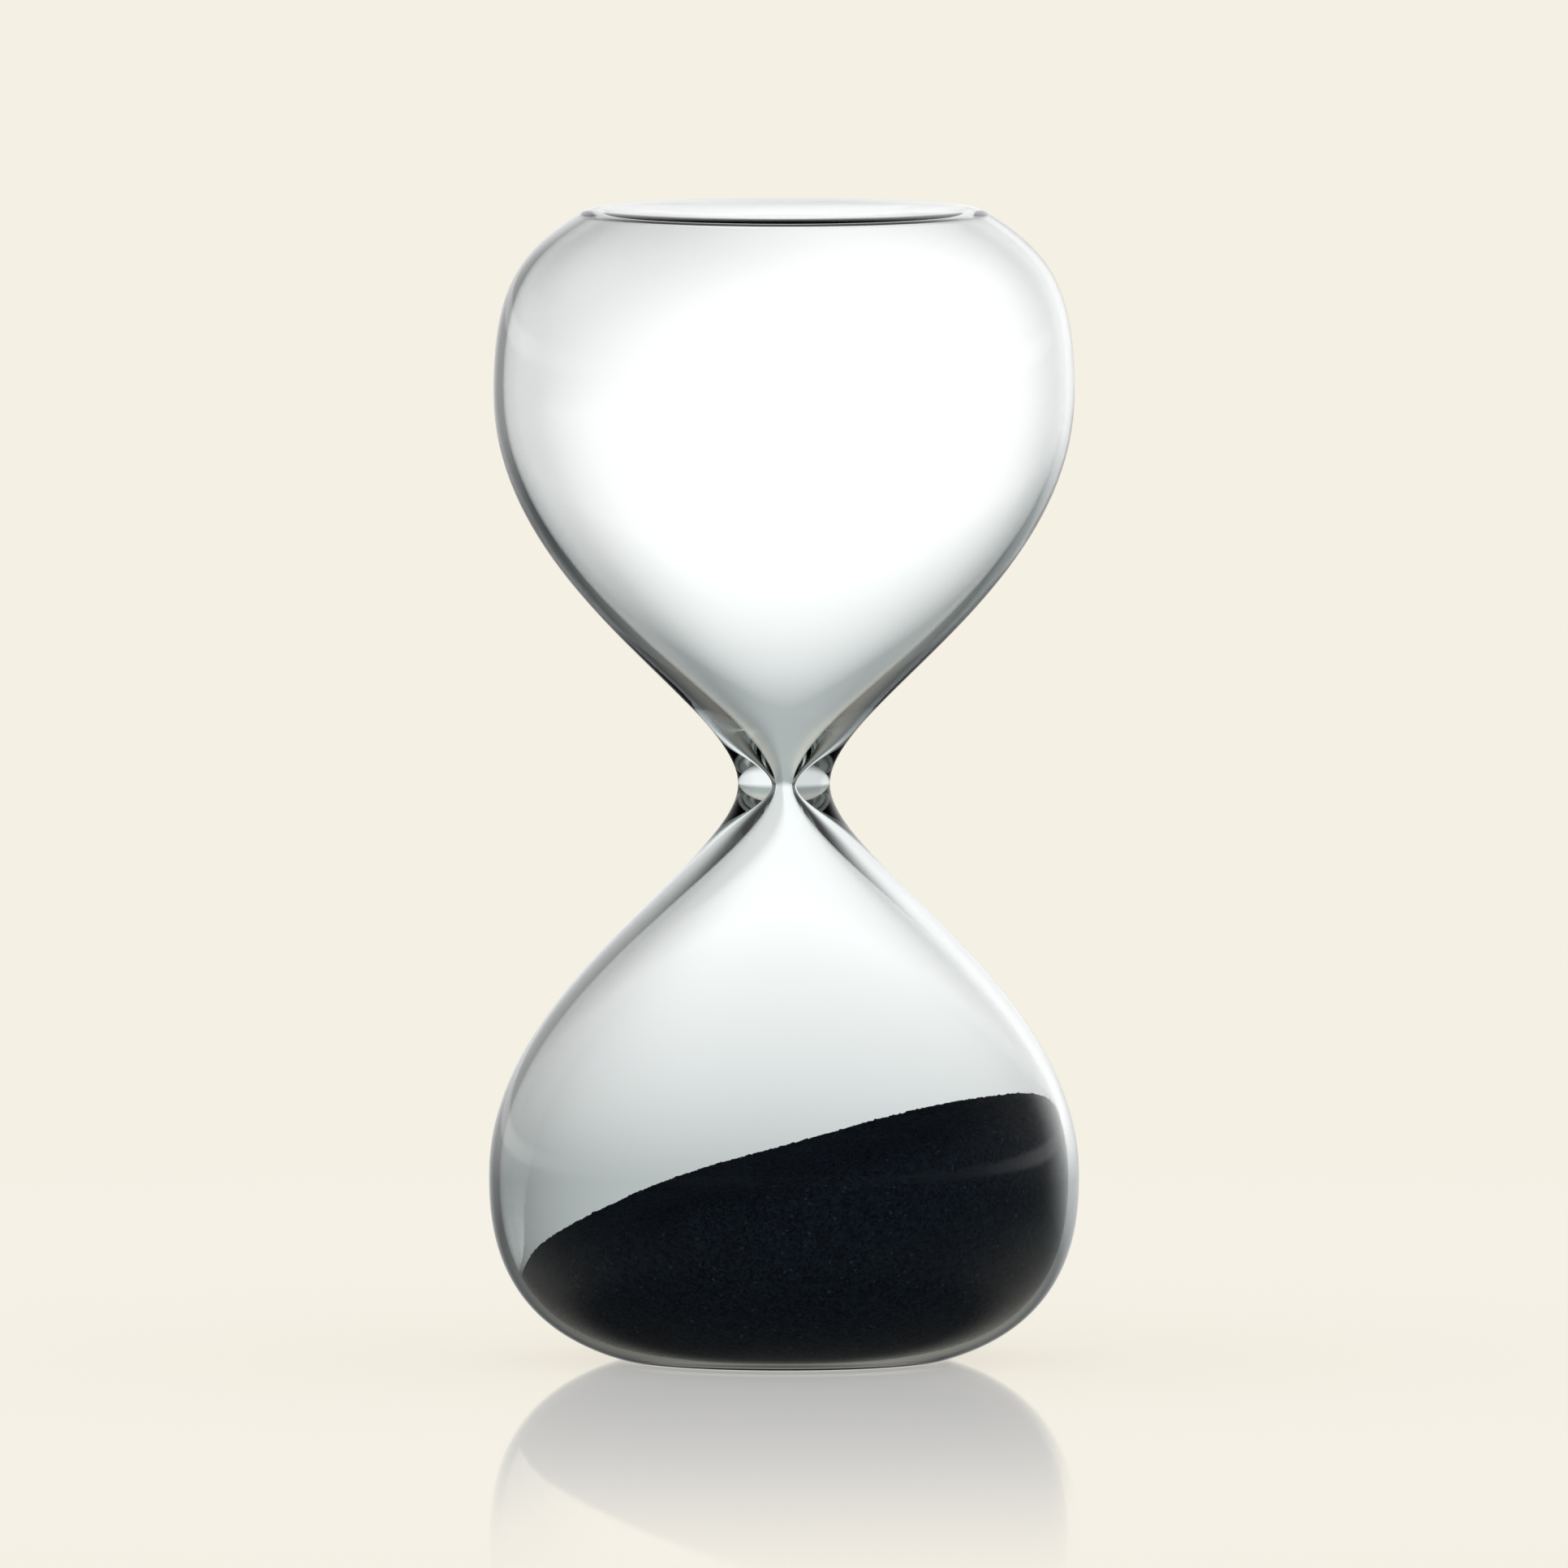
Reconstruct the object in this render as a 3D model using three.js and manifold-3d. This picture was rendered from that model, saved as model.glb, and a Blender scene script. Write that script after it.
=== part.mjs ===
// Frameless sand glass: two blown bulbs fused to a heavy throat, the plug that closes its filling hole,
// and its sand. Millimetres, +Z up. The origin is the middle of the face that it stands on, and every
// glass piece turns about Z.

import * as THREE from 'three';
import { mergeVertices } from 'three/addons/utils/BufferGeometryUtils.js';
import Module from 'manifold-3d';

const wasm = await Module();
wasm.setup();

// ---- Driving dimensions -------------------------------------------------------------------------------------

const overallHeight = 148;
const turnSteps = 48; // facets round every turned piece

// The throat: its waist is the plane where the two bulbs meet.
const throat = {
  waistRadius: 5.9,
  boreRadius: 1.05,
  boreHandle: 8.8, // how long the bore runs near straight before it opens
  halfLength: 9, // from the waist to the fused seam with each bulb
};

// Each bulb's outline is a cone curve from the waist to the belly, and a shoulder curve from the belly to
// the rim. The inside has a cone curve from the bore, and a shoulder curve that keeps about the same wall to
// the end face. A handle is the length of a curve's straight-ahead run at that end.
const upperShape = {
  waistHandle: 10.4,
  coneHandle: 25.6,
  bellyRadius: 37.3,
  shoulderDepth: 23.6, // from the belly's widest level to the end face
  shoulderHandle: 14.8,
  rimRadius: 25.2,
  rimHandle: 9.6,
  rimAngle: 58, // degrees between the outline and the axis at the rim
  bellyWall: 1.2,
};
const lowerShape = {
  waistHandle: 9.8,
  coneHandle: 24.2,
  bellyRadius: 37.9,
  shoulderDepth: 23.8,
  shoulderHandle: 5.6,
  rimRadius: 20.6,
  rimHandle: 17.7,
  rimAngle: 75,
  bellyWall: 1.3,
};

// The end of each bulb: a flat land to stand on, round a shallow dish. Its inside runs parallel to it.
const endWall = 1.2;
const insideHandleShare = 0.94; // the inside shoulder turns a little tighter, which keeps the wall even
const landWidth = 1.8;
const dishDepth = 1.0;

// The filling hole in the lower end, and what closes it.
const stopperRadius = 3;
const stopperDome = 0.25;
const sealFilm = 0.3; // thickness of the clear cement between stopper and hole
const sealLip = 0.5; // how far the cement spreads over the glass round the hole
const sealLipHeight = 0.25;
const dishMargin = 1.2; // flat glass left round the cement before the dish curves up

// The sand: a heap that leans against one side. Levels are above the standing face.
const sand = {
  clearance: 0.25,
  lowLevel: 11.2,
  middleLevel: 27.8,
  highLevel: 34.8,
};

// ---- Worked out from them -----------------------------------------------------------------------------------

const halfHeight = overallHeight / 2;
const holeRadius = stopperRadius + sealFilm;
const dishFlatRadius = holeRadius + sealLip + dishMargin;
const coneSteps = 9;
const shoulderSteps = 9;
const throatSteps = 5;
const dishSteps = 3;
const surfaceSteps = 14;

/** The level of a bulb's widest ring, measured from the waist. */
function bellyLevel(shape) {
  return halfHeight - shape.shoulderDepth;
}

/** A cubic curve between two points given as [radius, level]. */
function cubic(start, startHandle, endHandle, end) {
  const [a, b, c, d] = [start, startHandle, endHandle, end].map(([r, level]) => new THREE.Vector2(r, level));
  return new THREE.CubicBezierCurve(a, b, c, d);
}

/** The outside of a bulb and its half of the throat: cone curve, then shoulder curve. */
function outsideCurves(shape) {
  const belly = bellyLevel(shape);
  const slant = THREE.MathUtils.degToRad(shape.rimAngle);
  const cone = cubic(
    [throat.waistRadius, 0],
    [throat.waistRadius, shape.waistHandle],
    [shape.bellyRadius, belly - shape.coneHandle],
    [shape.bellyRadius, belly],
  );
  const shoulder = cubic(
    [shape.bellyRadius, belly],
    [shape.bellyRadius, belly + shape.shoulderHandle],
    [shape.rimRadius + shape.rimHandle * Math.sin(slant), halfHeight - shape.rimHandle * Math.cos(slant)],
    [shape.rimRadius, halfHeight],
  );
  return { cone, shoulder };
}

/** The inside of the same bulb, less a gap where the sand has to clear it. It ends a wall in from the rim. */
function insideCurves(shape, gap = 0) {
  const belly = bellyLevel(shape);
  const slant = THREE.MathUtils.degToRad(shape.rimAngle);
  const radius = shape.bellyRadius - shape.bellyWall - gap;
  const rimHandle = shape.rimHandle * insideHandleShare;
  const wall = endWall + gap;
  const corner = new THREE.Vector2(
    shape.rimRadius - (wall * (1 - Math.sin(slant))) / Math.cos(slant),
    halfHeight - wall,
  );
  const cone = cubic(
    [throat.boreRadius, 0],
    [throat.boreRadius, throat.boreHandle],
    [radius, belly - shape.coneHandle],
    [radius, belly],
  );
  const shoulder = cubic(
    [radius, belly],
    [radius, belly + shape.shoulderHandle * insideHandleShare],
    [corner.x + rimHandle * Math.sin(slant), corner.y - rimHandle * Math.cos(slant)],
    [corner.x, corner.y],
  );
  return { cone, shoulder };
}

/** Points of a rising curve from one level to another, found by halving. */
function between(curve, fromLevel, toLevel, steps) {
  const parameterAt = (level) => {
    let [low, high] = [0, 1];
    for (let i = 0; i < 40; i += 1) {
      const middle = (low + high) / 2;
      if (curve.getPoint(middle).y < level) low = middle;
      else high = middle;
    }
    return (low + high) / 2;
  };
  const [first, last] = [parameterAt(fromLevel), parameterAt(toLevel)];
  return Array.from({ length: steps + 1 }, (_, i) => curve.getPoint(first + ((last - first) * i) / steps));
}

/** An end face, or its parallel a depth below: a bowl in from the flat land, then a flat middle to a radius. */
function dishPoints(shape, toRadius, depth = 0) {
  const edge = shape.rimRadius - landWidth;
  const bowl = Array.from({ length: dishSteps + 1 }, (_, i) => {
    const share = i / dishSteps;
    return new THREE.Vector2(
      THREE.MathUtils.lerp(edge, dishFlatRadius, share),
      halfHeight - depth - dishDepth * Math.sin((share * Math.PI) / 2),
    );
  });
  return [...bowl, new THREE.Vector2(toRadius, halfHeight - depth - dishDepth)];
}

// ---- Solids -------------------------------------------------------------------------------------------------

/** A closed triangle mesh with shared vertices, no flattened triangles, and its faces pointing out. */
function closedMesh(geometry) {
  geometry.deleteAttribute('normal');
  geometry.deleteAttribute('uv');
  const merged = mergeVertices(geometry, 1e-4);
  const corner = (k) => new THREE.Vector3().fromBufferAttribute(merged.attributes.position, k);
  const old = merged.index.array;
  const kept = [];
  let volume = 0;
  for (let i = 0; i < old.length; i += 3) {
    const [a, b, c] = [old[i], old[i + 1], old[i + 2]];
    if (a !== b && b !== c && c !== a) {
      kept.push(a, b, c);
      volume += corner(a).dot(corner(b).cross(corner(c)));
    }
  }
  if (volume < 0) kept.reverse();
  merged.setIndex(kept);
  return merged;
}

/** Turns a profile of [radius, height above the standing face] points about Z. */
function turned(profile) {
  const geometry = new THREE.LatheGeometry(profile, turnSteps);
  geometry.rotateX(Math.PI / 2);
  return closedMesh(geometry);
}

const upward = (point) => new THREE.Vector2(point.x, halfHeight + point.y);
const downward = (point) => new THREE.Vector2(point.x, halfHeight - point.y);

/** The glass of one bulb from its fused seam to its end face, which is closed or has a hole of that radius. */
function bulbProfile(shape, hole) {
  const outside = outsideCurves(shape);
  const inside = insideCurves(shape);
  const belly = bellyLevel(shape);
  const innerWall = [
    ...between(inside.cone, throat.halfLength, belly, coneSteps),
    ...inside.shoulder.getPoints(shoulderSteps).slice(1),
    ...dishPoints(shape, hole, endWall),
  ];
  const outerWall = [
    ...between(outside.cone, throat.halfLength, belly, coneSteps),
    ...outside.shoulder.getPoints(shoulderSteps).slice(1),
    ...dishPoints(shape, hole),
  ];
  return [...innerWall.reverse(), ...outerWall];
}

/** The throat: half from each bulb's curves, with the bore through it. */
function throatProfile() {
  const half = (curves, shape) => between(curves(shape).cone, 0, throat.halfLength, throatSteps);
  const wall = (curves) => [
    ...half(curves, lowerShape).map(downward).reverse(),
    ...half(curves, upperShape).slice(1).map(upward),
  ];
  const loop = [...wall(outsideCurves), ...wall(insideCurves).reverse()];
  return [...loop, loop[0].clone()];
}

/** The glass plug in the filling hole, flush with the inside floor and slightly domed outside. */
function stopperProfile() {
  const top = dishDepth + endWall;
  return [
    new THREE.Vector2(0, dishDepth - stopperDome),
    new THREE.Vector2(stopperRadius * 0.6, dishDepth - stopperDome * 0.7),
    new THREE.Vector2(stopperRadius, dishDepth),
    new THREE.Vector2(stopperRadius, top),
    new THREE.Vector2(0, top),
  ];
}

/** The ring of cement: a film round the plug, and a thin lip on the dish round the hole. */
function sealProfile() {
  const top = dishDepth + endWall;
  const loop = [
    new THREE.Vector2(stopperRadius, dishDepth),
    new THREE.Vector2(holeRadius, dishDepth - sealLipHeight),
    new THREE.Vector2(holeRadius + sealLip, dishDepth),
    new THREE.Vector2(holeRadius, dishDepth),
    new THREE.Vector2(holeRadius, top),
    new THREE.Vector2(stopperRadius, top),
  ];
  return [...loop, loop[0].clone()];
}

/** A manifold solid from a closed mesh. */
function toSolid(geometry) {
  return new wasm.Manifold(new wasm.Mesh({
    numProp: 3,
    vertProperties: new Float32Array(geometry.attributes.position.array),
    triVerts: new Uint32Array(geometry.index.array),
  }));
}

/** A three.js geometry from a manifold solid. */
function fromSolid(solid) {
  const mesh = solid.getMesh();
  const geometry = new THREE.BufferGeometry();
  const corners = new THREE.BufferAttribute(new Float32Array(mesh.vertProperties), mesh.numProp);
  geometry.setAttribute('position', corners);
  geometry.setIndex(new THREE.BufferAttribute(new Uint32Array(mesh.triVerts), 1));
  return geometry;
}

/** The sand: what fills the lower bulb, clear of the glass, up to a surface that climbs from -X to +X. */
function sandGeometry() {
  const inside = insideCurves(lowerShape, sand.clearance);
  const belly = bellyLevel(lowerShape);
  const cavity = turned([
    new THREE.Vector2(0, halfHeight - throat.halfLength),
    ...between(inside.cone, throat.halfLength, belly, coneSteps).map(downward),
    ...inside.shoulder.getPoints(shoulderSteps).slice(1).map(downward),
    ...dishPoints(lowerShape, 0, endWall + sand.clearance).map(downward),
  ]);
  const reach = lowerShape.bellyRadius;
  const crest = (4 * sand.middleLevel - sand.lowLevel - sand.highLevel) / 2;
  const section = new THREE.Shape();
  section.moveTo(-reach, 0);
  section.lineTo(reach, 0);
  section.lineTo(reach, sand.highLevel);
  section.quadraticCurveTo(0, crest, -reach, sand.lowLevel);
  const heap = new THREE.ExtrudeGeometry(section, {
    depth: 2 * reach,
    bevelEnabled: false,
    curveSegments: surfaceSteps,
  });
  heap.rotateX(Math.PI / 2);
  heap.translate(0, reach, 0);
  return fromSolid(toSolid(cavity).intersect(toSolid(closedMesh(heap))));
}

// ---- Assembly -----------------------------------------------------------------------------------------------

const clearGlass = { color: 0xe4eceb, roughness: 0.03, metalness: 0, transparent: true, opacity: 0.35 };
const clearCement = { color: 0xe9ebe4, roughness: 0.2, metalness: 0, transparent: true, opacity: 0.6 };
const blackSand = { color: 0x0d1014, roughness: 0.9, metalness: 0 };

/** One named piece with its own material. */
function piece(name, geometry, look) {
  const mesh = new THREE.Mesh(geometry, new THREE.MeshStandardMaterial({ ...look }));
  mesh.name = name;
  return mesh;
}

const closedLoop = (points) => [...points, points[0].clone()];

const hourglass = new THREE.Group();
hourglass.add(
  piece('upper_bulb', turned(bulbProfile(upperShape, 0).map(upward)), clearGlass),
  piece('throat', turned(throatProfile()), clearGlass),
  piece('lower_bulb', turned(closedLoop(bulbProfile(lowerShape, holeRadius).map(downward))), clearGlass),
  piece('fill_stopper', turned(stopperProfile()), clearGlass),
  piece('stopper_seal', turned(sealProfile()), clearCement),
  piece('sand', sandGeometry(), blackSand),
);

export default hourglass;
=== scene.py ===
"""A frameless sand glass: one blown-glass envelope, its filling plug, and a leaning heap of black sand."""

import logging
import math
import random
from dataclasses import dataclass, field
from enum import Enum

import bmesh
import bpy
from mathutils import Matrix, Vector, noise


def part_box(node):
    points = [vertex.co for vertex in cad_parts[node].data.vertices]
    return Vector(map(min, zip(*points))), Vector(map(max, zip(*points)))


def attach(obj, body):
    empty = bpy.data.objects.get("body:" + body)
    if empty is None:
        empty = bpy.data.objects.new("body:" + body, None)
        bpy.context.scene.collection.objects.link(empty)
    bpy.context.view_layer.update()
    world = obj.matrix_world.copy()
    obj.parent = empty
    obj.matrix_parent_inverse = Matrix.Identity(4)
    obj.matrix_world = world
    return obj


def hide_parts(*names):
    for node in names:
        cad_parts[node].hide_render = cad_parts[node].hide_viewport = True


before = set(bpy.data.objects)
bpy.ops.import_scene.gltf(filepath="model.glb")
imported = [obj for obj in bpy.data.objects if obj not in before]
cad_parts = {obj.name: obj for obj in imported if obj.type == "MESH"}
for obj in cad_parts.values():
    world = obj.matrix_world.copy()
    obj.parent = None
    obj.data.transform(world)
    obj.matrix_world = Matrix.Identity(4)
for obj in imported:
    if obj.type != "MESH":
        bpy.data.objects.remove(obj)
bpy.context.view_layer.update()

MM = 0.001
WHITE = (1.0, 1.0, 1.0, 1.0)
MERGE_DISTANCE = 1e-7
FLAT_AREA = 1e-14

Point = tuple[float, float]
Colour = tuple[float, float, float, float]
# A smooth step: where it starts and stops, then the value before it and after it.
Step = tuple[float, float, float, float]

logging.basicConfig(level=logging.INFO, format="%(message)s")
log = logging.getLogger("sand_glass")


class End(Enum):
    """Which bulb an outline belongs to. The value is its direction from the throat along Z."""

    UPPER = 1
    LOWER = -1


# ---- Outlines ------------------------------------------------------------------------------------------


def cubic(start: Point, start_handle: Point, end_handle: Point, end: Point, steps: int) -> list[Point]:
    """Points along a cubic curve.

    Args:
        start: First point, as radius and level.
        start_handle: Where the curve heads from its start.
        end_handle: Where the curve comes from at its end.
        end: Last point.
        steps: Number of equal parameter steps.

    Returns:
        steps + 1 points, both ends included.
    """
    points = []
    for i in range(steps + 1):
        t = i / steps
        weights = ((1 - t) ** 3, 3 * (1 - t) ** 2 * t, 3 * (1 - t) * t * t, t**3)
        corners = (start, start_handle, end_handle, end)
        radius = sum(w * c[0] for w, c in zip(weights, corners))
        level = sum(w * c[1] for w, c in zip(weights, corners))
        points.append((radius, level))
    return points


def rounded_corner(before: Point, corner: Point, after: Point, reach: float, steps: int) -> list[Point]:
    """Points that round off a corner.

    Args:
        before: A point on the side that leads to the corner.
        corner: The sharp corner.
        after: A point on the side that leaves it.
        reach: How far from the corner the rounding starts on each side.
        steps: Number of steps round it.

    Returns:
        Points from one side to the other.
    """
    ends = []
    for other in (before, after):
        length = math.dist(corner, other)
        ends.append(tuple(c + (o - c) * reach / length for c, o in zip(corner, other)))
    return [
        tuple((1 - t) ** 2 * a + 2 * t * (1 - t) * c + t * t * b for a, c, b in zip(ends[0], corner, ends[1]))
        for t in (i / steps for i in range(steps + 1))
    ]


@dataclass(frozen=True)
class BulbShape:
    """Outline sizes of one bulb and its half of the throat, in metres, outwards from the throat's waist."""

    end: End
    belly_radius: float
    belly_level: float
    end_level: float
    waist_handle: float
    cone_handle: float
    shoulder_handle: float
    rim_radius: float
    rim_handle: float
    rim_angle: float
    belly_wall: float
    waist_radius: float = 5.9 * MM
    bore_radius: float = 1.05 * MM
    bore_handle: float = 8.8 * MM
    end_wall: float = 1.2 * MM
    inside_handle_share: float = 0.94
    land_width: float = 1.8 * MM
    dish_depth: float = 1.0 * MM
    dish_flat_radius: float = 5.0 * MM
    rim_rounding: float = 0.9 * MM
    rim_steps: int = 10
    inside_rounding: float = 0.9 * MM
    bend_steps: int = 8
    dish_step_size: int = 3

    def placed(self, points: list[Point]) -> list[Point]:
        """The points at their heights above the floor, with the waist halfway up the glass."""
        return [(radius, self.end_level + self.end.value * level) for radius, level in points]

    def outside(self, steps: int) -> list[Point]:
        """The outside from the waist to the sharp corner of the rim.

        Args:
            steps: Steps along each of its two curves.

        Returns:
            Points as radius and level.
        """
        slant = math.radians(self.rim_angle)
        cone = cubic(
            (self.waist_radius, 0.0),
            (self.waist_radius, self.waist_handle),
            (self.belly_radius, self.belly_level - self.cone_handle),
            (self.belly_radius, self.belly_level),
            steps,
        )
        shoulder = cubic(
            (self.belly_radius, self.belly_level),
            (self.belly_radius, self.belly_level + self.shoulder_handle),
            (
                self.rim_radius + self.rim_handle * math.sin(slant),
                self.end_level - self.rim_handle * math.cos(slant),
            ),
            (self.rim_radius, self.end_level),
            steps,
        )
        return cone + shoulder[1:]

    def end_face(self, to_radius: float, steps: int, depth: float = 0.0) -> list[Point]:
        """The land's inner edge and the dish, from there inwards.

        Args:
            to_radius: Where the dish's flat middle stops.
            steps: Number of steps down the bowl.
            depth: How far under the end face to draw its parallel.

        Returns:
            Points from the land's inner edge to to_radius.
        """
        edge = self.rim_radius - self.land_width
        top = self.end_level - depth
        points = []
        for i in range(steps + 1):
            share = i / steps
            sink = self.dish_depth * (1 - math.cos(share * math.pi)) / 2
            points.append((edge + (self.dish_flat_radius - edge) * share, top - sink))
        points.append((to_radius, top - self.dish_depth))
        return points

    def full_outside(self, to_radius: float, steps: int) -> list[Point]:
        """The whole outside, from the waist over the rounded rim to the end face.

        Args:
            to_radius: Where it stops on the end face.
            steps: Steps along each of its two curves.

        Returns:
            Points as radius and level.
        """
        side = self.outside(steps)
        face = self.end_face(to_radius, steps // self.dish_step_size)
        corner = side[-1]
        side = [p for p in side[:-1] if math.dist(p, corner) > self.rim_rounding]
        rim = rounded_corner(side[-1], corner, face[0], self.rim_rounding, self.rim_steps)
        return side + rim + face

    def inside(self, steps: int, to_radius: float = 0.0) -> list[Point]:
        """The inside from the bore's waist to the middle of the end wall.

        Args:
            steps: Steps along each of its two curves.
            to_radius: Where its end stops.

        Returns:
            Points as radius and level.
        """
        slant = math.radians(self.rim_angle)
        radius = self.belly_radius - self.belly_wall
        handle = self.rim_handle * self.inside_handle_share
        corner = (
            self.rim_radius - self.end_wall * (1 - math.sin(slant)) / math.cos(slant),
            self.end_level - self.end_wall,
        )
        cone = cubic(
            (self.bore_radius, 0.0),
            (self.bore_radius, self.bore_handle),
            (radius, self.belly_level - self.cone_handle),
            (radius, self.belly_level),
            steps,
        )
        shoulder = cubic(
            (radius, self.belly_level),
            (radius, self.belly_level + self.shoulder_handle * self.inside_handle_share),
            (corner[0] + handle * math.sin(slant), corner[1] - handle * math.cos(slant)),
            corner,
            steps,
        )
        face = self.end_face(to_radius, steps // self.dish_step_size, self.end_wall)
        shoulder = [p for p in shoulder if math.dist(p, corner) > self.inside_rounding]
        bend = rounded_corner(shoulder[-1], corner, face[0], self.inside_rounding, self.bend_steps)
        return cone + shoulder[1:] + bend + face


def upper_shape() -> BulbShape:
    """The upper bulb's sizes, with its reach taken from the frame.

    Returns:
        The upper bulb's outline sizes.
    """
    low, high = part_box("upper_bulb")
    half = high.z / 2
    return BulbShape(
        end=End.UPPER,
        belly_radius=(high.x - low.x) / 2,
        belly_level=half - 23.6 * MM,
        end_level=half,
        waist_handle=10.4 * MM,
        cone_handle=25.6 * MM,
        shoulder_handle=14.8 * MM,
        rim_radius=25.2 * MM,
        rim_handle=9.6 * MM,
        rim_angle=58,
        belly_wall=1.2 * MM,
    )


def lower_shape() -> BulbShape:
    """The lower bulb's sizes, with its reach taken from the frame.

    Returns:
        The lower bulb's outline sizes.
    """
    low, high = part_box("lower_bulb")
    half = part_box("upper_bulb")[1].z / 2
    return BulbShape(
        end=End.LOWER,
        belly_radius=(high.x - low.x) / 2,
        belly_level=half - 23.8 * MM,
        end_level=half,
        waist_handle=9.8 * MM,
        cone_handle=24.2 * MM,
        shoulder_handle=5.6 * MM,
        rim_radius=20.6 * MM,
        rim_handle=17.7 * MM,
        rim_angle=75,
        belly_wall=1.3 * MM,
    )


# ---- Node helpers --------------------------------------------------------------------------------------


class Nodes:
    """Shorthand for filling one node tree."""

    def __init__(self, tree: bpy.types.NodeTree) -> None:
        """Starts on a tree, which it clears."""
        self.tree = tree
        tree.nodes.clear()

    def add(self, kind: str, settings: dict | None = None, **inputs: object) -> bpy.types.Node:
        """Adds a node.

        Args:
            kind: The node's type name.
            settings: Its properties.
            inputs: Its sockets, with underscores for spaces: a value, or another node's output to link.

        Returns:
            The node.
        """
        node = self.tree.nodes.new(kind)
        for name, value in (settings or {}).items():
            setattr(node, name, value)
        for name, value in inputs.items():
            self.feed(node.inputs[name.replace("_", " ")], value)
        return node

    def feed(self, socket: bpy.types.NodeSocket, value: object) -> None:
        """Sets a socket's value, or links it if the value is an output.

        Args:
            socket: The socket to fill.
            value: A plain value, or another node's output.
        """
        if isinstance(value, bpy.types.NodeSocket):
            self.tree.links.new(value, socket)
        else:
            socket.default_value = value

    def math(self, operation: str, *values: object) -> bpy.types.NodeSocket:
        """Adds a Math node.

        Args:
            operation: The node's operation.
            values: Up to three values or outputs.

        Returns:
            Its output.
        """
        node = self.tree.nodes.new("ShaderNodeMath")
        node.operation = operation
        for socket, value in zip(node.inputs, values):
            self.feed(socket, value)
        return node.outputs[0]

    def ramp(self, value: object, step: Step) -> bpy.types.NodeSocket:
        """Adds a smooth step of a value, clamped at its ends.

        Args:
            value: The value or output that runs through the step.
            step: Where the step starts and stops, and its value before and after.

        Returns:
            Its output.
        """
        node = self.add("ShaderNodeMapRange", {"interpolation_type": "SMOOTHSTEP"})
        for socket, entry in zip(node.inputs, (value, *step)):
            self.feed(socket, entry)
        return node.outputs[0]

    def mix_shader(self, factor: object, first: object, second: object) -> bpy.types.NodeSocket:
        """Mixes two surfaces.

        Args:
            factor: Share of the second surface.
            first: The first surface.
            second: The second surface.

        Returns:
            The mixed surface.
        """
        node = self.tree.nodes.new("ShaderNodeMixShader")
        for socket, value in zip(node.inputs, (factor, first, second)):
            self.feed(socket, value)
        return node.outputs[0]

    def mix_colour(self, factor: object, first: object, second: object) -> bpy.types.NodeSocket:
        """Mixes two colours.

        Args:
            factor: Share of the second colour.
            first: The first colour, or an output.
            second: The second colour, or an output.

        Returns:
            The mixed colour.
        """
        node = self.tree.nodes.new("ShaderNodeMix")
        node.data_type = "RGBA"
        for name, value in (("Factor", factor), ("A", first), ("B", second)):
            kind = "VALUE" if name == "Factor" else "RGBA"
            socket = next(s for s in node.inputs if s.name == name and s.type == kind and s.enabled)
            self.feed(socket, value)
        return next(s for s in node.outputs if s.type == "RGBA")


def waver_group() -> bpy.types.NodeTree:
    """Makes the shared group of slow, uneven height that flame-worked glass and spread cement have.

    Returns:
        The node group, with inputs Scale and Detail and the output Height.
    """
    group = bpy.data.node_groups.new("waver", "ShaderNodeTree")
    for name, value in (("Scale", 60.0), ("Detail", 1.0)):
        socket = group.interface.new_socket(name, in_out="INPUT", socket_type="NodeSocketFloat")
        socket.default_value = value
    group.interface.new_socket("Height", in_out="OUTPUT", socket_type="NodeSocketFloat")
    nodes = Nodes(group)
    given = nodes.add("NodeGroupInput")
    place = nodes.add("ShaderNodeTexCoord")
    texture = nodes.add(
        "ShaderNodeTexNoise",
        Vector=place.outputs["Object"],
        Scale=given.outputs["Scale"],
        Detail=given.outputs["Detail"],
    )
    out = nodes.add("NodeGroupOutput")
    nodes.feed(out.inputs["Height"], texture.outputs["Fac"])
    return group


def new_material(name: str) -> tuple[bpy.types.Material, Nodes]:
    """Makes an empty node material.

    Args:
        name: The material's name.

    Returns:
        The material, and the shorthand for its tree.
    """
    material = bpy.data.materials.new(name)
    material.use_nodes = True
    return material, Nodes(material.node_tree)


# ---- Finishes ------------------------------------------------------------------------------------------


@dataclass(frozen=True)
class ClearGlass:
    """Clear borosilicate glass with a faint cool tint that deepens where the glass is thick."""

    name: str = "clear_glass"
    tint: Colour = (0.995, 0.998, 0.997, 1.0)
    index: float = 1.474
    gloss_tint: Colour = (0.05, 0.05, 0.05, 1.0)
    depth_tint: Colour = (0.50, 0.60, 0.585, 1.0)
    depth_density: float = 55.0
    waver_scale: float = 70.0
    waver_height: float = 0.02 * MM

    def material(self, waver: bpy.types.NodeTree) -> bpy.types.Material:
        """Builds the material.

        Args:
            waver: The shared group of slow surface height.

        Returns:
            The material.
        """
        material, nodes = new_material(self.name)
        uneven = nodes.add("ShaderNodeGroup", {"node_tree": waver}, Scale=self.waver_scale)
        bump = nodes.add(
            "ShaderNodeBump", Strength=1.0, Distance=self.waver_height, Height=uneven.outputs["Height"]
        )
        glass = nodes.add(
            "ShaderNodeBsdfPrincipled",
            Base_Color=self.tint,
            Metallic=0.0,
            Roughness=0.0,
            IOR=self.index,
            Transmission_Weight=1.0,
            Specular_Tint=self.gloss_tint,
            Normal=bump.outputs["Normal"],
        )
        depth = nodes.add("ShaderNodeVolumeAbsorption", Color=self.depth_tint, Density=self.depth_density)
        nodes.add("ShaderNodeOutputMaterial", Surface=glass.outputs["BSDF"], Volume=depth.outputs["Volume"])
        return material


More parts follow.
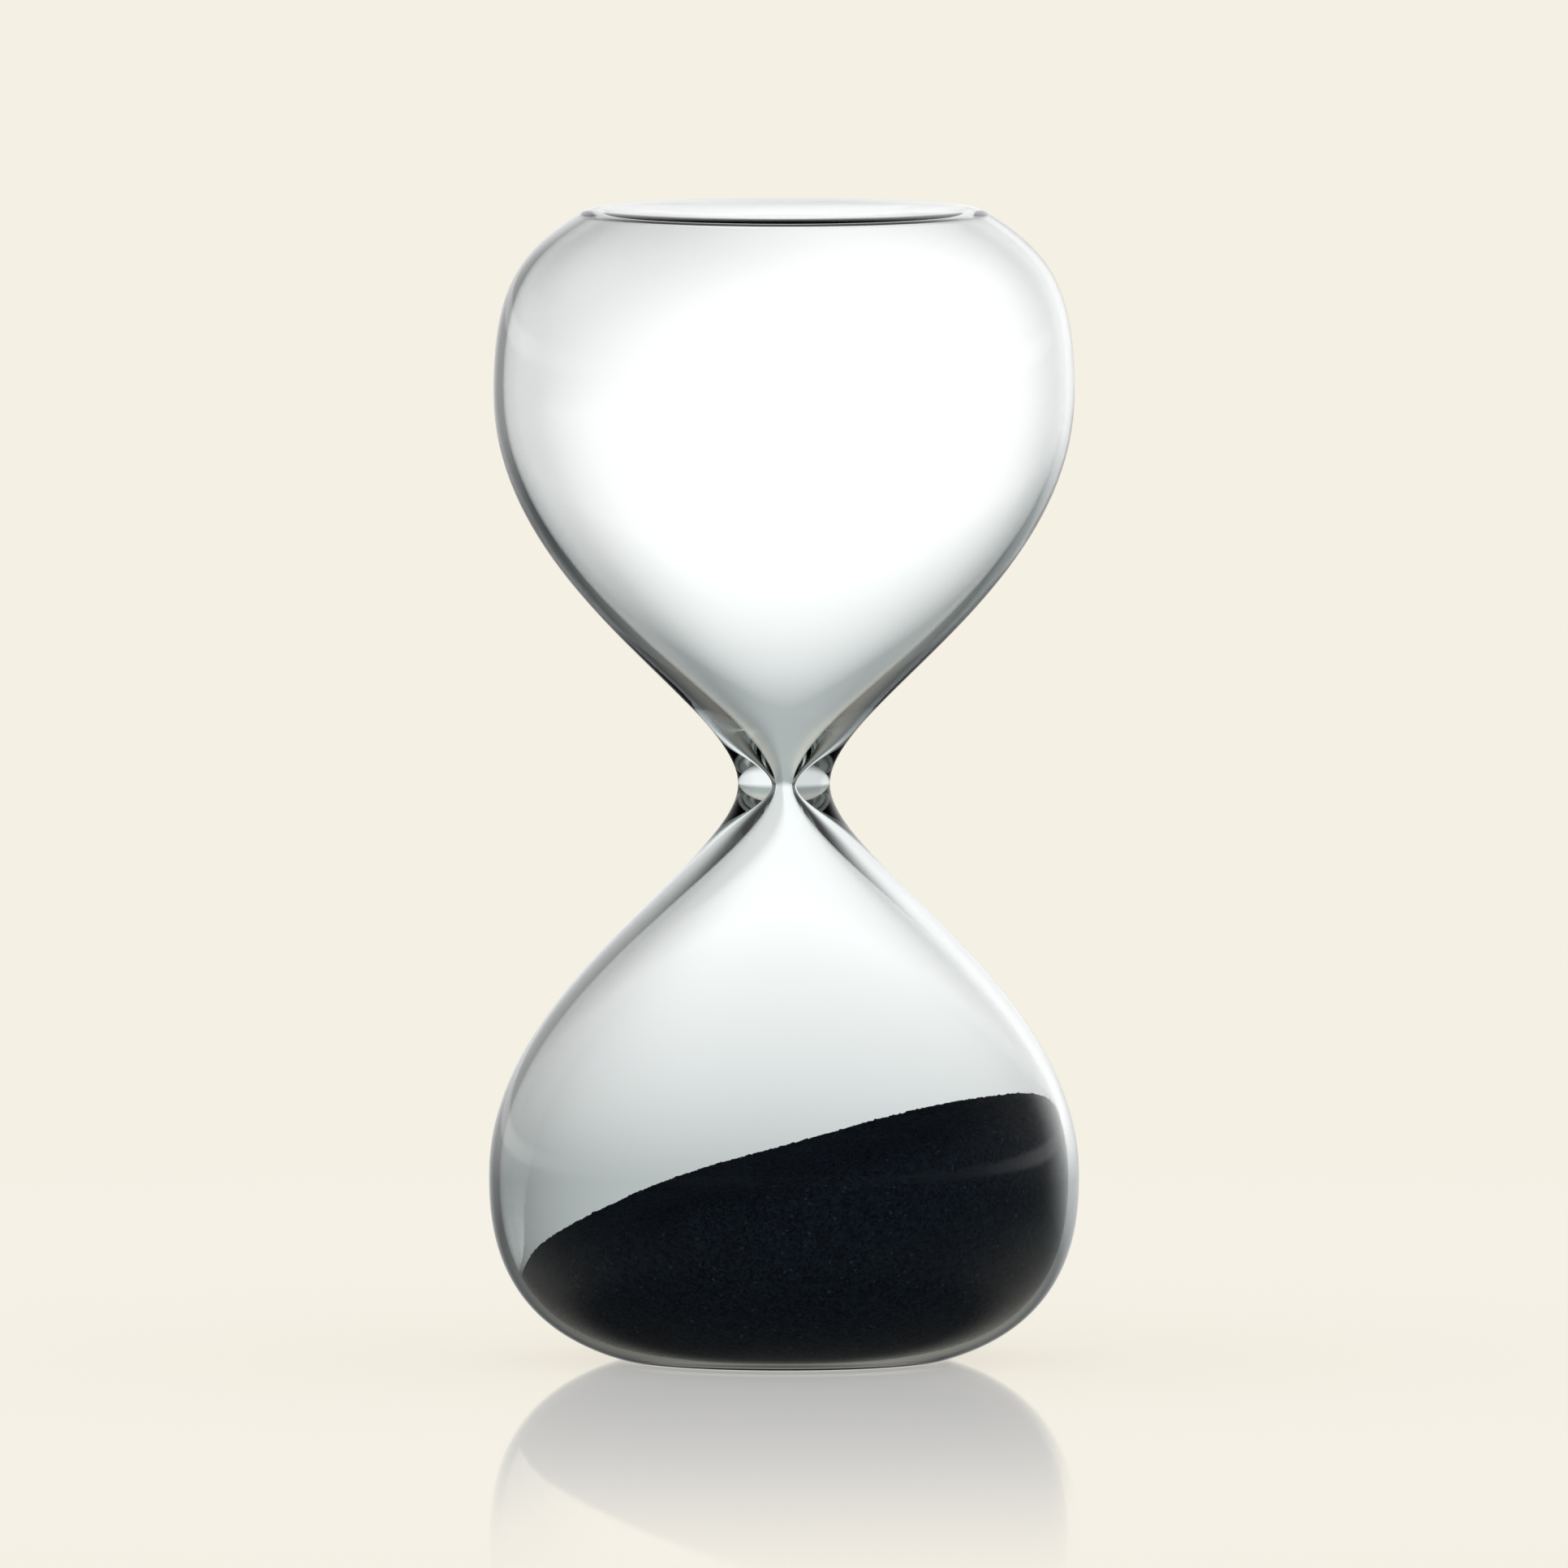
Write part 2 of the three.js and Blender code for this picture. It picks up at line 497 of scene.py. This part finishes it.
@dataclass(frozen=True)
class ClearCement:
    """Clear cement with a slightly cloudy, uneven skin."""

    name: str = "clear_cement"
    colour: Colour = (0.86, 0.87, 0.83, 1.0)
    roughness: float = 0.22
    index: float = 1.5
    clearness: float = 0.7
    waver_scale: float = 900.0
    waver_detail: float = 3.0
    waver_height: float = 0.05 * MM
    waver_strength: float = 0.6

    def material(self, waver: bpy.types.NodeTree) -> bpy.types.Material:
        """Builds the material.

        Args:
            waver: The shared group of slow surface height.

        Returns:
            The material.
        """
        material, nodes = new_material(self.name)
        uneven = nodes.add(
            "ShaderNodeGroup", {"node_tree": waver}, Scale=self.waver_scale, Detail=self.waver_detail
        )
        bump = nodes.add(
            "ShaderNodeBump",
            Strength=self.waver_strength,
            Distance=self.waver_height,
            Height=uneven.outputs["Height"],
        )
        cement = nodes.add(
            "ShaderNodeBsdfPrincipled",
            Base_Color=self.colour,
            Metallic=0.0,
            Roughness=self.roughness,
            IOR=self.index,
            Transmission_Weight=self.clearness,
            Normal=bump.outputs["Normal"],
        )
        nodes.add("ShaderNodeOutputMaterial", Surface=cement.outputs["BSDF"])
        return material


@dataclass(frozen=True)
class BlackSand:
    """Fine black sand: every grain has its own shade and its own small bump, and a few carry a painted glint,
    a lighter colour standing in for grains that catch the light.
    """

    name: str = "black_sand"
    grain: float = 0.32 * MM
    darkest: Colour = (0.0055, 0.0078, 0.0112, 1.0)
    lightest: Colour = (0.0125, 0.0180, 0.0260, 1.0)
    # Painted glint: a lighter base colour on a few random grains, standing in for grains that catch the
    # light.
    painted_glint: Colour = (0.024, 0.030, 0.040, 1.0)
    painted_glint_from: float = 0.99
    roughness: Step = (0.0, 1.0, 0.85, 0.45)
    bump: float = 0.12 * MM
    bump_strength: float = 0.8

    def material(self) -> bpy.types.Material:
        """Builds the material.

        Returns:
            The material.
        """
        material, nodes = new_material(self.name)
        place = nodes.add("ShaderNodeTexCoord")
        cells = nodes.add(
            "ShaderNodeTexVoronoi",
            {"voronoi_dimensions": "3D", "feature": "F1"},
            Vector=place.outputs["Object"],
            Scale=1 / self.grain,
        )
        draw = nodes.add("ShaderNodeSeparateColor", Color=cells.outputs["Color"])
        shade = nodes.mix_colour(draw.outputs["Red"], self.darkest, self.lightest)
        # A few random grains get the painted glint colour in place of real glints of light.
        is_painted_glint = nodes.math("GREATER_THAN", draw.outputs["Green"], self.painted_glint_from)
        colour = nodes.mix_colour(is_painted_glint, shade, self.painted_glint)
        roughness = nodes.ramp(draw.outputs["Blue"], self.roughness)
        bump = nodes.add(
            "ShaderNodeBump",
            {"invert": True},
            Strength=self.bump_strength,
            Distance=self.bump,
            Height=cells.outputs["Distance"],
        )
        sand = nodes.add(
            "ShaderNodeBsdfPrincipled",
            Base_Color=colour,
            Metallic=0.0,
            Roughness=roughness,
            Specular_IOR_Level=0.0,
            Normal=bump.outputs["Normal"],
        )
        nodes.add("ShaderNodeOutputMaterial", Surface=sand.outputs["BSDF"])
        return material


# ---- Mesh helpers --------------------------------------------------------------------------------------


def wire(bm: bmesh.types.BMesh, points: list[Point]) -> list:
    """Draws an outline in the XZ plane.

    Args:
        bm: The mesh to draw in.
        points: Radius and height of each point.

    Returns:
        Its vertices and edges.
    """
    verts = [bm.verts.new((radius, 0.0, height)) for radius, height in points]
    edges = [bm.edges.new(pair) for pair in zip(verts, verts[1:])]
    return verts + edges


def spin_shut(bm: bmesh.types.BMesh, outline: list, steps: int) -> None:
    """Spins an outline a full turn about Z and closes its poles.

    Args:
        bm: The mesh that holds the outline.
        outline: The outline's vertices and edges.
        steps: Number of steps round.
    """
    bmesh.ops.spin(
        bm, geom=outline, axis=(0, 0, 1), cent=(0, 0, 0), angle=math.tau, steps=steps, use_merge=True
    )
    bmesh.ops.remove_doubles(bm, verts=bm.verts, dist=MERGE_DISTANCE)
    flat = [f for f in bm.faces if f.calc_area() < FLAT_AREA]
    bmesh.ops.delete(bm, geom=flat, context="FACES_ONLY")


def to_object(
    bm: bmesh.types.BMesh, name: str, material: bpy.types.Material, crease: float
) -> bpy.types.Object:
    """Turns a finished bmesh into a smooth-shaded object at the origin.

    Args:
        bm: The mesh, in metres, in place. It is freed.
        name: The piece's name.
        material: Its finish.
        crease: Angle in degrees above which an edge stays sharp.

    Returns:
        The object.
    """
    bmesh.ops.recalc_face_normals(bm, faces=bm.faces)
    for face in bm.faces:
        face.smooth = True
    mesh = bpy.data.meshes.new(name)
    bm.to_mesh(mesh)
    bm.free()
    mesh.materials.append(material)
    mesh.set_sharp_from_angle(angle=math.radians(crease))
    made = bpy.data.objects.new(name, mesh)
    bpy.context.scene.collection.objects.link(made)
    return made


# ---- The glass envelope --------------------------------------------------------------------------------


@dataclass
class GlassEnvelope:
    """Both bulbs and the throat as the one piece of glass that they are once fused."""

    upper: BulbShape
    lower: BulbShape
    hole_radius: float
    turn_steps: int = 208
    curve_steps: int = 44
    crease: float = 50

    def outline(self) -> list[Point]:
        """The section of the glass: down the outside to the filling hole, then up the inside to the top.

        Returns:
            Points as radius and height.
        """
        outer_top = self.upper.placed(self.upper.full_outside(0.0, self.curve_steps))
        outer_bottom = self.lower.placed(self.lower.full_outside(self.hole_radius, self.curve_steps))
        inner_bottom = self.lower.placed(self.lower.inside(self.curve_steps, self.hole_radius))
        inner_top = self.upper.placed(self.upper.inside(self.curve_steps))
        outer = outer_top[::-1] + outer_bottom[1:]
        inner = inner_bottom[::-1] + inner_top[1:]
        return outer + inner

    def build(self, material: bpy.types.Material) -> bpy.types.Object:
        """Makes the envelope and puts it in place of its three CAD solids.

        Args:
            material: The glass.

        Returns:
            The piece.
        """
        bm = bmesh.new()
        spin_shut(bm, wire(bm, self.outline()), self.turn_steps)
        made = to_object(bm, "glass_envelope", material, self.crease)
        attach(made, "glass")
        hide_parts("upper_bulb", "throat", "lower_bulb")
        return made


@dataclass
class FillingPlug:
    """The glass plug in the filling hole and the ring of clear cement round it."""

    face_level: float
    floor_level: float
    radius: float
    film: float = 0.3 * MM
    lip: float = 0.5 * MM
    lip_height: float = 0.25 * MM
    clearance: float = 0.01 * MM
    edge: float = 0.15 * MM
    turn_steps: int = 96
    dome_steps: int = 8
    edge_steps: int = 4
    bead_steps: int = 12
    stopper_crease: float = 40
    seal_crease: float = 50

    def build_stopper(self, material: bpy.types.Material) -> bpy.types.Object:
        """Makes the plug, domed outside and with its inner edge eased.

        Args:
            material: The glass.

        Returns:
            The piece.
        """
        radius = self.radius - self.clearance
        face = self.face_level
        middle = (0.0, self.floor_level)
        turns = [math.pi / 2 * i / self.dome_steps for i in range(self.dome_steps + 1)]
        dome = [(radius * math.sin(a), face - self.lip_height * math.cos(a)) for a in turns]
        top = rounded_corner((radius, face), (radius, self.floor_level), middle, self.edge, self.edge_steps)
        bm = bmesh.new()
        spin_shut(bm, wire(bm, [*dome, *top, middle]), self.turn_steps)
        made = to_object(bm, "fill_stopper_glass", material, self.stopper_crease)
        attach(made, "glass")
        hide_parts("fill_stopper")
        return made

    def build_seal(self, material: bpy.types.Material) -> bpy.types.Object:
        """Makes the cement: a film in the gap and a rounded bead spread over the glass round it.

        Args:
            material: The cement.

        Returns:
            The piece.
        """
        inner = self.radius
        hole = self.radius + self.film - self.clearance
        foot = self.face_level - self.clearance
        outer = self.radius + self.film + self.lip
        middle = (inner + outer) / 2
        half = (outer - inner) / 2
        turns = [math.pi * i / self.bead_steps for i in range(self.bead_steps + 1)]
        bead = [(middle - half * math.cos(a), foot - self.lip_height * math.sin(a)) for a in turns]
        loop = [*bead, (hole, foot), (hole, self.floor_level), (inner, self.floor_level), bead[0]]
        bm = bmesh.new()
        spin_shut(bm, wire(bm, loop), self.turn_steps)
        made = to_object(bm, "stopper_seal_bead", material, self.seal_crease)
        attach(made, "glass")
        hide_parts("stopper_seal")
        return made


# ---- The sand ------------------------------------------------------------------------------------------


@dataclass
class SandCharge:
    """The sand: a heap that leans against the +X side, with a grainy skin and loose grains on top."""

    bulb: BulbShape
    side_gap: float = 0.07 * MM
    floor_gap: float = 0.05 * MM
    middle_level: float = 27.1 * MM
    slope: float = 0.311
    bow: float = 2.6
    crown: float = 1.5
    ripple_height: float = 0.4 * MM
    ripple_length: float = 48 * MM
    ripple_centre: float = -6 * MM
    ripple_reach: float = 20 * MM
    wall_drop: float = 2.6 * MM
    wall_reach: float = 1.3 * MM
    grain: float = 0.32 * MM
    roughness: float = 0.11 * MM
    clump: float = 5
    clump_share: float = 0.8
    calm_rim: float = 12
    turn_steps: int = 440
    top_rows: int = 80
    wall_rows: int = 110
    wall_steps: int = 400
    heap_crease: float = 180
    grain_seed: int = 7
    grain_doublings: int = 12
    grain_spread: float = 0.94
    grain_sizes: Point = (0.35, 0.75)
    grain_widths: Point = (0.7, 1.2)
    grain_heights: Point = (0.6, 1.0)
    grain_crease: float = 20
    wall_line: list[Point] = field(init=False, default_factory=list)

    def __post_init__(self) -> None:
        """Draws the line that the sand keeps to inside the bulb, from the throat to the floor's middle."""
        inside = self.bulb.placed(self.bulb.inside(self.wall_steps))
        for before, place, after in zip(inside, inside[1:], inside[2:]):
            run, fall = after[0] - before[0], after[1] - before[1]
            length = math.hypot(run, fall)
            facing_down = max(0.0, -run / length)
            gap = self.side_gap + (self.floor_gap - self.side_gap) * facing_down
            self.wall_line.append((max(0.0, place[0] + gap * fall / length), place[1] - gap * run / length))
        self.wall_line.append((0.0, inside[-1][1] + self.floor_gap))

    def level(self, x: float, y: float) -> float:
        """Height of the heap at a place, before the drop at the glass.

        Args:
            x: How far to the right of the axis.
            y: How far behind the axis.

        Returns:
            The height above the floor.
        """
        from_ripple = x - self.ripple_centre
        ripple = -self.ripple_height * math.sin(math.tau * from_ripple / self.ripple_length)
        fade = math.exp(-((from_ripple / self.ripple_reach) ** 2))
        return self.middle_level + self.slope * x - self.bow * x * x - self.crown * y * y + ripple * fade

    def contact(self, angle: float) -> int:
        """Finds where the heap meets the glass.

        Args:
            angle: Angle round the axis.

        Returns:
            The index on the wall line of the first point under the heap's edge.
        """
        low, high = 0, len(self.wall_line) - 1
        while high - low > 1:
            middle = (low + high) // 2
            radius, height = self.wall_line[middle]
            if height > self.edge_level(radius, angle):
                low = middle
            else:
                high = middle
        return high

    def edge_level(self, radius: float, angle: float) -> float:
        """Height of the heap's edge against the glass."""
        return self.level(radius * math.cos(angle), radius * math.sin(angle)) - self.wall_drop

    def top_point(self, share: float, angle: float, rim: Point) -> Vector:
        """A point of the heap's top.

        Args:
            share: From 0 at the axis to 1 at the glass.
            angle: Angle round the axis.
            rim: Radius and height where the heap meets the glass.

        Returns:
            The point.
        """
        radius = share * rim[0]
        x, y = radius * math.cos(angle), radius * math.sin(angle)
        drop = self.wall_drop * math.exp(-(rim[0] - radius) / self.wall_reach)
        height = self.level(x, y) - drop
        if share >= 1:
            height = rim[1]
        return Vector((x, y, height))

    def roughen(self, point: Vector, share: float) -> Vector:
        """Moves a point up or down by the grains, less and less where the heap meets the glass.

        Args:
            point: A point of the heap's top.
            share: How far out it is, from 0 at the axis to 1 at the glass.

        Returns:
            The moved point.
        """
        fine = noise.noise(point / self.grain)
        coarse = noise.noise(point / (self.grain * self.clump))
        calm = min(1.0, (1 - share) * self.calm_rim)
        return point + Vector((0, 0, self.roughness * (fine + self.clump_share * coarse) * calm))

    def build_heap(self, material: bpy.types.Material) -> bpy.types.Object:
        """Makes the heap as one closed body inside the lower bulb.

        Args:
            material: The sand.

        Returns:
            The piece.
        """
        rows = self.top_rows + self.wall_rows
        bm = bmesh.new()
        row_layer = bm.verts.layers.int.new("row")
        spindle = [(self.grain * math.sin(math.pi * i / rows), -i * self.grain) for i in range(rows + 1)]
        outline = wire(bm, spindle)
        for i, vert in enumerate(outline[: rows + 1]):
            vert[row_layer] = i
        spin_shut(bm, outline, self.turn_steps)
        rims: dict[int, int] = {}
        for vert in bm.verts:
            angle = math.atan2(vert.co.y, vert.co.x)
            key = round(angle / math.tau * self.turn_steps)
            if key not in rims:
                rims[key] = self.contact(angle)
            vert.co = self.heap_point(vert[row_layer], angle, rims[key])
        made = to_object(bm, "sand_heap", material, self.heap_crease)
        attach(made, "sand")
        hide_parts("sand")
        return made

    def heap_point(self, row: int, angle: float, rim_index: int) -> Vector:
        """Where a point of the heap's mesh lies: first over its top, then down the glass to the axis.

        Args:
            row: The row of the mesh, counted from the middle of the top.
            angle: Angle round the axis.
            rim_index: Index on the wall line where the heap meets the glass.

        Returns:
            The point.
        """
        rim = self.wall_line[rim_index]
        if row <= self.top_rows:
            share = row / self.top_rows
            return self.roughen(self.top_point(share, angle, rim), share)
        last = len(self.wall_line) - 1
        down = (row - self.top_rows) / self.wall_rows
        radius, height = self.wall_line[round(rim_index + (last - rim_index) * down)]
        return Vector((radius * math.cos(angle), radius * math.sin(angle), height))

    def build_grains(self, material: bpy.types.Material) -> bpy.types.Object:
        """Scatters loose grains over the heap's top, half sunk into it.

        Args:
            material: The sand.

        Returns:
            The piece.
        """
        draw = random.Random(self.grain_seed)
        bm = bmesh.new()
        corners = len(bmesh.ops.create_icosphere(bm, subdivisions=1, radius=self.grain)["verts"])
        for _ in range(self.grain_doublings):
            bmesh.ops.duplicate(bm, geom=bm.verts[:] + bm.edges[:] + bm.faces[:])
        verts = bm.verts[:]
        for first in range(0, len(verts), corners):
            angle = draw.uniform(0, math.tau)
            share = math.sqrt(draw.uniform(0, self.grain_spread))
            rim = self.wall_line[self.contact(angle)]
            place = self.roughen(self.top_point(share, angle, rim), share)
            size = draw.uniform(*self.grain_sizes)
            ranges = (self.grain_widths, self.grain_widths, self.grain_heights)
            squash = Vector([draw.uniform(*limits) for limits in ranges]) * size
            for vert in verts[first : first + corners]:
                vert.co = vert.co * squash + place
        grains = to_object(bm, "loose_grains", material, self.grain_crease)
        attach(grains, "sand")
        return grains


# ---- The studio ----------------------------------------------------------------------------------------


@dataclass
class Studio:
    """A pale floor, a tent of soft light that only the glass sees, even light from all round, and the camera.

    Each Step of the lights runs over one axis of a unit direction: X to the right, Y to the back, Z up.
    """

    target_height: float
    frame_width: float = 201.3 * MM
    distance: float = 6.5
    elevation: float = 3.8
    sensor: float = 36.0
    nearest: float = 0.1
    farthest: float = 100.0

    cream: Colour = (0.913, 0.871, 0.776, 1.0)
    mirrored_above: Step = (-0.30, 0.05, 0.04, 1.0)
    mirrored_left: Step = (-0.40, -0.02, 0.38, 1.0)
    mirrored_behind: Step = (0.45, 0.92, 0.05, 1.0)
    horizon_foot: Step = (0.0, 0.04, 0.0, 0.8)
    horizon_top: Step = (0.075, 0.12, 1.0, 0.0)

    tent_radius: float = 0.45
    tent_segments: int = 96
    tent_rings: int = 48
    tent_white: float = 1.22
    tent_low: Colour = (0.43, 0.462, 0.462, 1.0)
    tent_floor: Colour = (0.66, 0.64, 0.58, 1.0)
    tent_blur: float = 0.15
    tent_drop: float = 0.02
    tent_dip: Step = (-0.40, -0.12, 0.0, 1.0)
    tent_overhead: Step = (0.45, 0.75, 1.0, 0.35)
    cards_behind: Step = (0.2, 0.5, 0.0, 1.0)
    card_lean: float = 0.9
    card_foot: float = 0.2
    left_card: Step = (-0.16, -0.03, 0.26, 0.0)
    left_card_end: Step = (-0.80, -0.55, 0.0, 1.0)
    right_card: Step = (0.40, 0.60, 0.0, 0.08)
    right_card_end: Step = (0.75, 0.90, 1.0, 0.0)
    inner_foot: Step = (-0.70, -0.45, 0.08, 0.42)
    inner_top: Step = (-0.20, -0.05, 1.0, 0.5)

    floor_radius: float = 30.0
    floor_segments: int = 64
    floor_drop: float = 0.05 * MM
    floor_glow: float = 0.75
    floor_index: float = 1.45
    grazing_gloss: float = 0.68
    mirror_share: float = 0.5
    mirror_start: float = 0.02
    mirror_reach: float = 0.40
    mirror_tint: Colour = (0.868, 0.784, 0.594, 1.0)
    mirror_roughness: float = 0.03
    crease: float = 180

    def build_camera(self) -> None:
        """Puts a long lens in front of the object and a little above it, and makes it the scene's camera."""
        data = bpy.data.cameras.new("camera")
        data.sensor_width = self.sensor
        data.lens = self.sensor * self.distance / self.frame_width
        data.clip_start = self.nearest
        data.clip_end = self.farthest
        camera = bpy.data.objects.new("camera", data)
        tilt = math.radians(self.elevation)
        camera.location = (
            0.0,
            -self.distance * math.cos(tilt),
            self.target_height + self.distance * math.sin(tilt),
        )
        camera.rotation_euler = (math.pi / 2 - tilt, 0.0, 0.0)
        bpy.context.scene.collection.objects.link(camera)
        bpy.context.scene.camera = camera

    def mirrored(self, nodes: Nodes, axes: bpy.types.Node) -> bpy.types.NodeSocket:
        """How bright the studio is where the glass mirrors it: dark below and in front, dimmer to the left.

        Args:
            nodes: The tree to add to.
            axes: The node that puts out the X, Y and Z of a direction.

        Returns:
            The brightness.
        """
        above = nodes.ramp(axes.outputs["Z"], self.mirrored_above)
        left = nodes.ramp(axes.outputs["X"], self.mirrored_left)
        behind = nodes.ramp(axes.outputs["Y"], self.mirrored_behind)
        return nodes.math("MULTIPLY", above, nodes.math("MULTIPLY", left, behind))

    def build_world(self) -> None:
        """Lights the scene evenly with white from all round, and shows as cream behind the object.

        What mirrors it finds it dark below and in front, with a bright band just above the horizon.
        """
        world = bpy.data.worlds.new("studio")
        world.use_nodes = True
        bpy.context.scene.world = world
        nodes = Nodes(world.node_tree)
        path = nodes.add("ShaderNodeLightPath")
        place = nodes.add("ShaderNodeTexCoord")
        axes = nodes.add("ShaderNodeSeparateXYZ", Vector=place.outputs["Generated"])
        horizon = nodes.math(
            "MULTIPLY",
            nodes.ramp(axes.outputs["Z"], self.horizon_foot),
            nodes.ramp(axes.outputs["Z"], self.horizon_top),
        )
        mirrored = nodes.math("MAXIMUM", self.mirrored(nodes, axes), horizon)
        lit = nodes.mix_colour(path.outputs["Is Glossy Ray"], WHITE, mirrored)
        colour = nodes.mix_colour(path.outputs["Is Camera Ray"], lit, self.cream)
        light = nodes.add("ShaderNodeBackground", Color=colour, Strength=1.0)
        nodes.add("ShaderNodeOutputWorld", Surface=light.outputs["Background"])

    def build_floor(self) -> None:
        """Makes a wide pale floor that glows a little, with a polish that mirrors only what stands close by.

        Where it mirrors, its own colour makes up for the tint of the mirror, so the bare floor looks even.
        """
        material, nodes = new_material("floor")
        place = nodes.add("ShaderNodeTexCoord")
        distance = nodes.add(
            "ShaderNodeVectorMath", {"operation": "LENGTH"}, Vector=place.outputs["Object"]
        )
        fade = nodes.ramp(
            distance.outputs["Value"], (self.mirror_start, self.mirror_reach, self.mirror_share, 0.0)
        )
        gloss = nodes.add("ShaderNodeFresnel", IOR=self.floor_index)
        grazing = nodes.math("DIVIDE", gloss.outputs["Fac"], self.grazing_gloss)
        share = nodes.math("MULTIPLY", fade, nodes.math("MINIMUM", grazing, 1.0))
        near = tuple(
            (c - self.mirror_share * m) / (1 - self.mirror_share)
            for c, m in zip(self.cream[:3], self.mirror_tint[:3])
        )
        colour = nodes.mix_colour(nodes.math("DIVIDE", share, self.mirror_share), self.cream, (*near, 1.0))
        matt = nodes.add("ShaderNodeBsdfDiffuse", Color=colour)
        glow = nodes.add("ShaderNodeEmission", Color=colour, Strength=1.0)
        polish = nodes.add("ShaderNodeBsdfGlossy", Color=self.mirror_tint, Roughness=self.mirror_roughness)
        body = nodes.mix_shader(self.floor_glow, matt.outputs[0], glow.outputs[0])
        both = nodes.mix_shader(share, body, polish.outputs[0])
        nodes.add("ShaderNodeOutputMaterial", Surface=both)
        material.cycles.emission_sampling = "NONE"
        bm = bmesh.new()
        bmesh.ops.create_circle(bm, cap_ends=True, segments=self.floor_segments, radius=self.floor_radius)
        bmesh.ops.translate(bm, verts=bm.verts, vec=(0, 0, -self.floor_drop))
        floor = to_object(bm, "floor", material, self.crease)
        if floor.data.polygons[0].normal.z < 0:
            floor.data.flip_normals()
        floor.visible_transmission = False
        floor.visible_glossy = False

    def card_shade(self, nodes: Nodes, axes: bpy.types.Node) -> bpy.types.NodeSocket:
        """How much light two faint cards behind the object take from the tent. The left one leans.

        Args:
            nodes: The tree to add to.
            axes: The node that puts out the X, Y and Z of a direction.

        Returns:
            The share of light taken.
        """
        height = nodes.math("MAXIMUM", axes.outputs["Z"], self.card_foot)
        lean = nodes.math("MULTIPLY_ADD", height, -self.card_lean, self.card_lean * self.card_foot)
        leaning = nodes.math("ADD", axes.outputs["X"], lean)
        left = nodes.math(
            "MULTIPLY",
            nodes.ramp(leaning, self.left_card),
            nodes.ramp(axes.outputs["X"], self.left_card_end),
        )
        right = nodes.math(
            "MULTIPLY",
            nodes.ramp(axes.outputs["X"], self.right_card),
            nodes.ramp(axes.outputs["X"], self.right_card_end),
        )
        behind = nodes.ramp(axes.outputs["Y"], self.cards_behind)
        return nodes.math("MULTIPLY", nodes.math("ADD", left, right), behind)

    def bounce_loss(self, nodes: Nodes, axes: bpy.types.Node) -> bpy.types.NodeSocket:
        """How much dimmer the tent is for light that has bounced inside the glass, so the sand stays black.

        Args:
            nodes: The tree to add to.
            axes: The node that puts out the X, Y and Z of a direction.

        Returns:
            The share of light lost.
        """
        path = nodes.add("ShaderNodeLightPath")
        bounced = nodes.math("MINIMUM", path.outputs["Glossy Depth"], 1.0)
        inner = nodes.math(
            "MULTIPLY",
            nodes.ramp(axes.outputs["Z"], self.inner_foot),
            nodes.ramp(axes.outputs["Z"], self.inner_top),
        )
        kept = nodes.math("MAXIMUM", self.mirrored(nodes, axes), inner)
        return nodes.math("MULTIPLY", bounced, nodes.math("SUBTRACT", 1.0, kept))

    def build_tent(self) -> None:
        """Makes the tent of light round the glass, which only the glass sees.

        It is white above the horizon and dimmer overhead, grey just below the horizon and warmer lower down.
        """
        material, nodes = new_material("tent")
        place = nodes.add("ShaderNodeTexCoord")
        reach = nodes.add(
            "ShaderNodeVectorMath",
            {"operation": "SCALE"},
            Vector=place.outputs["Object"],
            Scale=1 / self.tent_radius,
        )
        axes = nodes.add("ShaderNodeSeparateXYZ", Vector=reach.outputs[0])
        rise = nodes.math(
            "MULTIPLY_ADD", axes.outputs["Z"], 1 / self.tent_blur, self.tent_drop / self.tent_blur
        )
        dip = nodes.ramp(axes.outputs["Z"], self.tent_dip)
        low = nodes.mix_colour(dip, self.tent_floor, self.tent_low)
        colour = nodes.mix_colour(rise, low, WHITE)
        strength = nodes.math(
            "MULTIPLY",
            nodes.math("SUBTRACT", 1.0, self.card_shade(nodes, axes)),
            nodes.ramp(axes.outputs["Z"], self.tent_overhead),
        )
        strength = nodes.math("MULTIPLY", strength, self.tent_white)
        kept = nodes.math("SUBTRACT", 1.0, self.bounce_loss(nodes, axes))
        strength = nodes.math("MULTIPLY", strength, kept)
        light = nodes.add("ShaderNodeEmission", Color=colour, Strength=strength)
        nodes.add("ShaderNodeOutputMaterial", Surface=light.outputs[0])
        material.cycles.emission_sampling = "NONE"
        bm = bmesh.new()
        bmesh.ops.create_uvsphere(
            bm, u_segments=self.tent_segments, v_segments=self.tent_rings, radius=self.tent_radius
        )
        tent = to_object(bm, "tent", material, self.crease)
        tent.visible_camera = False
        tent.visible_diffuse = False
        tent.visible_glossy = False
        tent.visible_shadow = False


def main() -> None:
    """Builds the sand glass and its studio in order."""
    waver = waver_group()
    glass = ClearGlass().material(waver)
    cement = ClearCement().material(waver)
    black_sand = BlackSand().material()

    upper, lower = upper_shape(), lower_shape()
    plug_low, plug_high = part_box("fill_stopper")
    plug = FillingPlug(
        face_level=lower.dish_depth,
        floor_level=plug_high.z,
        radius=(plug_high.x - plug_low.x) / 2,
    )
    envelope = GlassEnvelope(upper, lower, hole_radius=plug.radius + plug.film)
    charge = SandCharge(lower)
    for made in (
        envelope.build(glass),
        plug.build_stopper(glass),
        plug.build_seal(cement),
        charge.build_heap(black_sand),
        charge.build_grains(black_sand),
    ):
        log.info("%s: %d vertices, %d faces", made.name, len(made.data.vertices), len(made.data.polygons))

    studio = Studio(target_height=upper.end_level)
    studio.build_world()
    studio.build_floor()
    studio.build_tent()
    studio.build_camera()
    scene = bpy.context.scene
    scene.view_settings.view_transform = "Standard"


if __name__ == "__main__":
    main()
